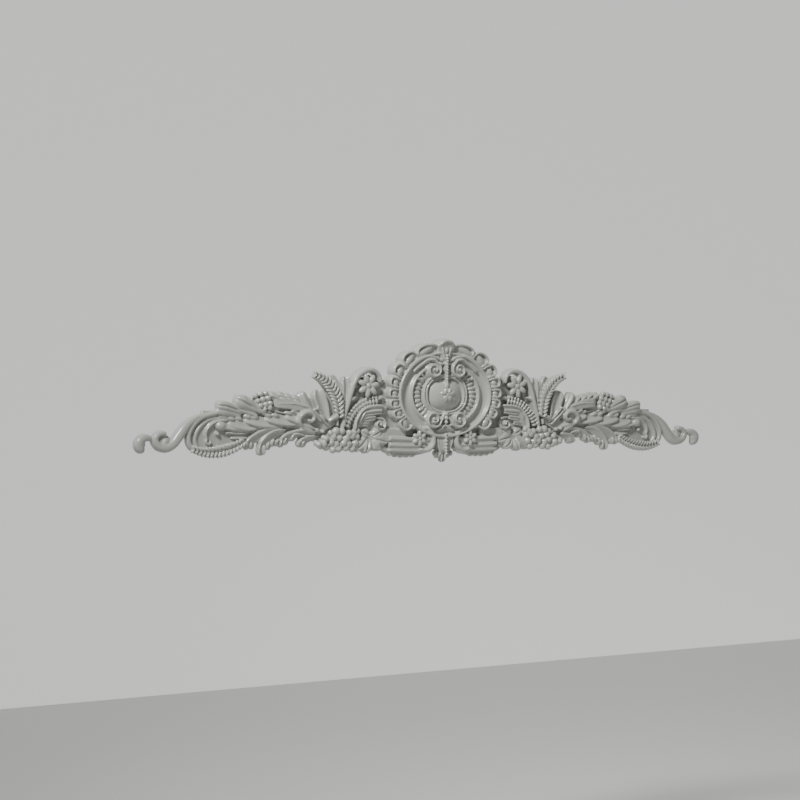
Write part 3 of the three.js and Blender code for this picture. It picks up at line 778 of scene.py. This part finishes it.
def with_modifiers_applied(piece):
    depsgraph = bpy.context.evaluated_depsgraph_get()
    applied = bpy.data.meshes.new_from_object(piece.evaluated_get(depsgraph))
    before = piece.data
    piece.modifiers.clear()
    piece.data = applied
    bpy.data.meshes.remove(before)


fuse = casting.modifiers.new("fuse", "REMESH")
fuse.mode = "VOXEL"
fuse.voxel_size = VOXEL * MM
soften = casting.modifiers.new("soften", "SMOOTH")
soften.factor = 0.5
soften.iterations = 1
with_modifiers_applied(casting)
casting.data.calc_loop_triangles()
dense = len(casting.data.loop_triangles)
print("triangles in the fused skin", dense)

# %% [markdown]
# The skin is thinned where it is nearly flat. Its back is pressed flat on the wall, and nothing
# may pass the frame's box, so its corners are moved back inside by a thousandth of a millimetre.

# %% Thinning and the flat back
MOST_TRIANGLES = 190000
BACK_BAND = 0.6
MARGIN = 0.001
CREASE = 60
if dense > MOST_TRIANGLES:
    thin = casting.modifiers.new("thin", "DECIMATE")
    thin.ratio = MOST_TRIANGLES / dense
    with_modifiers_applied(casting)
mesh = casting.data
mesh.name = "scroll_casting"
corners = np.empty(len(mesh.vertices) * 3, dtype=np.float32)
mesh.vertices.foreach_get("co", corners)
corners = corners.reshape(-1, 3)
corners[:, 1] = np.where(corners[:, 1] > -BACK_BAND * MM, 0.0, corners[:, 1])
corners = np.clip(corners, np.array(frame_low) + MARGIN * MM, np.array(frame_high) - MARGIN * MM)
mesh.vertices.foreach_set("co", corners.ravel())
mesh.update()
mesh.shade_smooth()
mesh.set_sharp_from_angle(angle=math.radians(CREASE))
print("triangles before and after thinning", dense, len(mesh.polygons))

# %% [markdown]
# Shader maths reads best as sums, so a small class wraps a socket, and adding or multiplying two
# of them adds the Math node for it. Every other node comes from one function.

# %% Shader maths
class Link:
    def __init__(self, tree, socket):
        self.tree, self.socket = tree, socket

    def maths(self, operation, other, flip=False, clamp=False):
        first, second = (other, self) if flip else (self, other)
        settings = {"operation": operation, "use_clamp": clamp}
        return node(self.tree, "ShaderNodeMath", settings, {0: first, 1: second})

    def __add__(self, other):
        return self.maths("ADD", other)

    def __radd__(self, other):
        return self.maths("ADD", other, True)

    def __sub__(self, other):
        return self.maths("SUBTRACT", other)

    def __rsub__(self, other):
        return self.maths("SUBTRACT", other, True)

    def __mul__(self, other):
        return self.maths("MULTIPLY", other)

    def __rmul__(self, other):
        return self.maths("MULTIPLY", other, True)


def node(tree, kind, settings, inputs, output=0):
    made = tree.nodes.new(kind)
    for key, value in settings.items():
        setattr(made, key, value)
    for key, value in inputs.items():
        if isinstance(value, Link):
            tree.links.new(value.socket, made.inputs[key])
        else:
            made.inputs[key].default_value = value
    return Link(tree, made.outputs[output])


print("shader maths ready")

# %% [markdown]
# The paint: a warm pale grey with a satin face. It is a little cloudy, carries painted shade that
# makes it darker in the low parts near the wall, and has a fine grain from the brush. All of it is
# worked out from the place on the piece, so it holds in every view.

# %% Paint
# the paint's own grey, and the darker grey that painted shade and random mottling mix it towards
PAINT_GREY = (0.475, 0.485, 0.445, 1)
SHADED_MOTTLED_GREY = (0.34, 0.345, 0.314, 1)
CLOUDS_PER_METRE = 24.0
GRAIN_PER_METRE = 900.0
paint = bpy.data.materials.new("satin_paint")
paint.use_nodes = True
tree = paint.node_tree
principled = tree.nodes["Principled BSDF"]
spot = node(tree, "ShaderNodeTexCoord", {}, {}, "Object")
clouds = node(tree, "ShaderNodeTexNoise", {},
              {"Vector": spot, "Scale": CLOUDS_PER_METRE, "Detail": 4.0})
grainy = node(tree, "ShaderNodeTexNoise", {}, {"Vector": spot, "Scale": GRAIN_PER_METRE, "Detail": 2.0})
depth = node(tree, "ShaderNodeSeparateXYZ", {}, {"Vector": spot}, "Y")
# painted shade: the grey darkens towards the wall, where the recesses lie in shadow
painted_recess_shade = (depth * 60.0 + 1.0).maths("MULTIPLY", 0.5, clamp=True)
# painted recess shade plus random cloudy mottling of the tone
recess_shade_and_mottle = painted_recess_shade + (clouds - 0.5) * 0.5
shade = node(tree, "ShaderNodeMix", {"data_type": "RGBA"}, {"Factor": recess_shade_and_mottle, "A": PAINT_GREY, "B": SHADED_MOTTLED_GREY},
             "Result")
tree.links.new(shade.socket, principled.inputs["Base Color"])
rough = clouds * 0.10 + 0.22
tree.links.new(rough.socket, principled.inputs["Roughness"])
principled.inputs["IOR"].default_value = 1.5
principled.inputs["Specular IOR Level"].default_value = 1.0
bump = node(tree, "ShaderNodeBump", {}, {"Strength": 0.12, "Distance": 0.0004, "Height": grainy},
            "Normal")
tree.links.new(bump.socket, principled.inputs["Normal"])
mesh.materials.clear()
mesh.materials.append(paint)
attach(casting, "root")
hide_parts("scroll_onlay")
print("paint nodes", len(tree.nodes))

# %% [markdown]
# A plain pale room: a floor well below the ornament, a backdrop far behind it, one soft light
# high on the left that rakes across the relief, and a pale surround that fills the shadows. The
# light fans out little, so that it doesn't bounce off the floor and flatten the carving.

# %% Floor and light
def plain_sheet(name, size, spot, turn, glow):
    form = bmesh.new()
    bmesh.ops.create_grid(form, x_segments=1, y_segments=1, size=size)
    sheet = bpy.data.meshes.new(name)
    form.to_mesh(sheet)
    form.free()
    holder = bpy.data.objects.new(name, sheet)
    holder.location = spot
    holder.rotation_euler = (math.radians(turn), 0, 0)
    bpy.context.scene.collection.objects.link(holder)
    pale = bpy.data.materials.new(name)
    pale.use_nodes = True
    face = pale.node_tree.nodes["Principled BSDF"]
    face.inputs["Base Color"].default_value = (0.7, 0.7, 0.69, 1)
    face.inputs["Roughness"].default_value = 0.9
    face.inputs["Emission Color"].default_value = (1, 1, 0.99, 1)
    face.inputs["Emission Strength"].default_value = glow
    sheet.materials.append(pale)


plain_sheet("floor", 12, (0, 0, -0.9), 0, 0.08)
plain_sheet("backdrop", 12, (0, 2.5, 0), 90, 0.56)


def light(name, spot, size, power, fan):
    lamp = bpy.data.lights.new(name, "AREA")
    lamp.shape = "DISK"
    lamp.size = size
    lamp.energy = power
    lamp.spread = math.radians(fan)
    holder = bpy.data.objects.new(name, lamp)
    holder.location = spot
    holder.rotation_euler = (Vector((0, 0, 0)) - Vector(spot)).to_track_quat("-Z", "Y").to_euler()
    bpy.context.scene.collection.objects.link(holder)


light("key", (-2.3, -1.45, 2.2), 0.6, 7.0, 40)
world = bpy.data.worlds.new("pale_room")
world.use_nodes = True
world.node_tree.nodes["Background"].inputs["Color"].default_value = (0.84, 0.84, 0.84, 1)
world.node_tree.nodes["Background"].inputs["Strength"].default_value = 0.27
bpy.context.scene.world = world
print("lights set")

# %% [markdown]
# The viewer stands a little left of the ornament, level with it, about three metres away.

# %% Camera
camera_data = bpy.data.cameras.new("camera")
camera_data.lens = 80.77
camera_data.sensor_width = 36
camera = bpy.data.objects.new("camera", camera_data)
camera.location = (-1.5823, -2.6053, 0.0)
camera.rotation_euler = (math.radians(90), 0, math.radians(-30))
bpy.context.scene.collection.objects.link(camera)
bpy.context.scene.camera = camera
